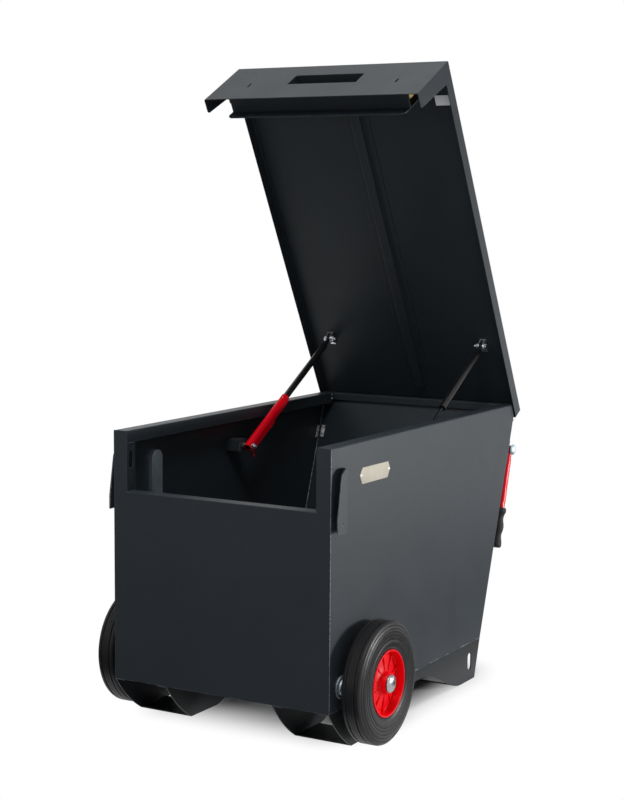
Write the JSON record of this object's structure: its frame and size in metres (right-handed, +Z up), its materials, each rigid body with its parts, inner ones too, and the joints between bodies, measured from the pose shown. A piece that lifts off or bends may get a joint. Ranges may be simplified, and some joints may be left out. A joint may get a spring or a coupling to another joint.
{
  "type": "mobile tool box",
  "caption": "Steel site chest with slanted rear wall, dropped front edge, hinged lid on gas struts, wheels, skids and swinging push handles.",
  "frame": {"origin": "middle of the whole's underside on the ground, with the lid open", "axes": "+X to the box's right side, +Y from the dropped front edge to the slanted rear wall, +Z up"},
  "size_m": [0.7726, 1.073, 1.6279],
  "materials": {
    "body_paint": "anthracite powder coat, fine grained satin",
    "lid_paint": "anthracite powder coat, fine grained satin",
    "tyre": "solid rubber",
    "hub_red": "moulded red plastic",
    "handle_red": "gloss red powder coat",
    "grip": "moulded black grip",
    "zinc": "bright zinc plate",
    "strap_zinc": "dull zinc plate",
    "brass": "brushed brass",
    "strut_black": "satin black",
    "rod_steel": "hard chromed rod"
  },
  "bodies": {
    "box": {"axle_cap_left": "zinc", "axle_cap_right": "zinc", "axle_strap_left": "strap_zinc", "axle_strap_right": "strap_zinc", "corner_gusset_left": "zinc", "corner_gusset_right": "zinc", "floor_panel": "body_paint", "front_panel": "body_paint", "guard_left": "body_paint", "guard_right": "body_paint", "handle_bolt_left": "zinc", "handle_bolt_right": "zinc", "handle_bracket_left": "body_paint", "handle_bracket_right": "body_paint", "hinge_leaf_body": "body_paint", "hinge_pin": "zinc", "rear_panel": "body_paint", "runner_left": "body_paint", "runner_right": "body_paint", "side_bolt_left": "zinc", "side_bolt_right": "zinc", "side_panel_left": "body_paint", "side_panel_right": "body_paint", "strut_block_left": "body_paint", "strut_block_right": "body_paint", "stub_axle_left": "zinc", "stub_axle_right": "zinc"},
    "lid": {"clevis_bolt_left": "zinc", "clevis_bolt_right": "zinc", "handle_cup": "lid_paint", "hinge_leaf_lid": "lid_paint", "lid_skin": "lid_paint", "lid_skirt": "lid_paint", "lid_stiffener": "lid_paint", "lock_case_left": "brass", "lock_case_right": "brass", "strut_clevis_left": "zinc", "strut_clevis_right": "zinc"},
    "wheel_left": {"bush_left": "zinc", "hub_left": "hub_red", "tyre_left": "tyre"},
    "wheel_right": {"bush_right": "zinc", "hub_right": "hub_red", "tyre_right": "tyre"},
    "handle_left": {"handle_grip_left": "grip", "handle_tube_left": "handle_red"},
    "handle_right": {"handle_grip_right": "grip", "handle_tube_right": "handle_red"},
    "lock_bolt_left": {"lock_bolt_left": "brass"},
    "lock_bolt_right": {"lock_bolt_right": "brass"},
    "safety_sleeve": {"safety_sleeve": "handle_red"},
    "strut_cylinder_left": {"strut_cylinder_left": "strut_black"},
    "strut_cylinder_right": {"strut_cylinder_right": "strut_black"},
    "strut_rod_left": {"strut_pin_left": "zinc", "strut_rod_left": "rod_steel"},
    "strut_rod_right": {"strut_pin_right": "zinc", "strut_rod_right": "rod_steel"}
  },
  "joints": [
    {"name": "lid_hinge", "type": "hinge", "parent": "box", "child": "lid", "pos_m": [0, 0.5072, 0.6938], "axis": [1, 0, 0], "range_deg": [0, 61.6], "stiffness_Nm_per_rad": 20, "springref_deg": -171.89},
    {"name": "strut_swing_left", "type": "hinge", "parent": "lid", "child": "strut_cylinder_left", "pos_m": [-0.24, 0.41865, 0.88658], "axis": [1, 0, 0], "range_deg": [-77.84, 0]},
    {"name": "strut_stroke_left", "type": "slide", "parent": "strut_cylinder_left", "child": "strut_rod_left", "axis": [0, 0.859, 0.512], "range_m": [0, 0.18454]},
    {"name": "lock_slide_left", "type": "slide", "parent": "lid", "child": "lock_bolt_left", "axis": [-1, 0, 0], "range_m": [0, 0.013]},
    {"name": "wheel_spin_left", "type": "hinge", "parent": "box", "child": "wheel_left", "pos_m": [-0.348, -0.37222, 0.148], "axis": [1, 0, 0], "continuous": true},
    {"name": "handle_swing_left", "type": "hinge", "parent": "box", "child": "handle_left", "pos_m": [-0.28, 0.51861, 0.592], "axis": [1, 0, 0], "range_deg": [0, 107]},
    {"name": "strut_swing_right", "type": "hinge", "parent": "lid", "child": "strut_cylinder_right", "pos_m": [0.24, 0.41865, 0.88658], "axis": [1, 0, 0], "range_deg": [-77.84, 0]},
    {"name": "strut_stroke_right", "type": "slide", "parent": "strut_cylinder_right", "child": "strut_rod_right", "axis": [0, 0.859, 0.512], "range_m": [0, 0.18454]},
    {"name": "lock_slide_right", "type": "slide", "parent": "lid", "child": "lock_bolt_right", "axis": [1, 0, 0], "range_m": [0, 0.013]},
    {"name": "wheel_spin_right", "type": "hinge", "parent": "box", "child": "wheel_right", "pos_m": [0.348, -0.37222, 0.148], "axis": [1, 0, 0], "continuous": true},
    {"name": "handle_swing_right", "type": "hinge", "parent": "box", "child": "handle_right", "pos_m": [0.28, 0.51861, 0.592], "axis": [1, 0, 0], "range_deg": [0, 107]},
    {"name": "sleeve_lift", "type": "hinge", "parent": "strut_rod_left", "child": "safety_sleeve", "pos_m": [-0.24, -0.01852, 0.626], "axis": [1, 0, 0], "range_deg": [0, 7]}
  ],
  "couplings": [
    {"joint": "strut_swing_left", "follows": "lid_hinge", "ratio": -1.2635},
    {"joint": "strut_stroke_left", "follows": "lid_hinge", "m_per_rad": 0.1716},
    {"joint": "strut_swing_right", "follows": "lid_hinge", "ratio": -1.2635},
    {"joint": "strut_stroke_right", "follows": "lid_hinge", "m_per_rad": 0.1716}
  ]
}
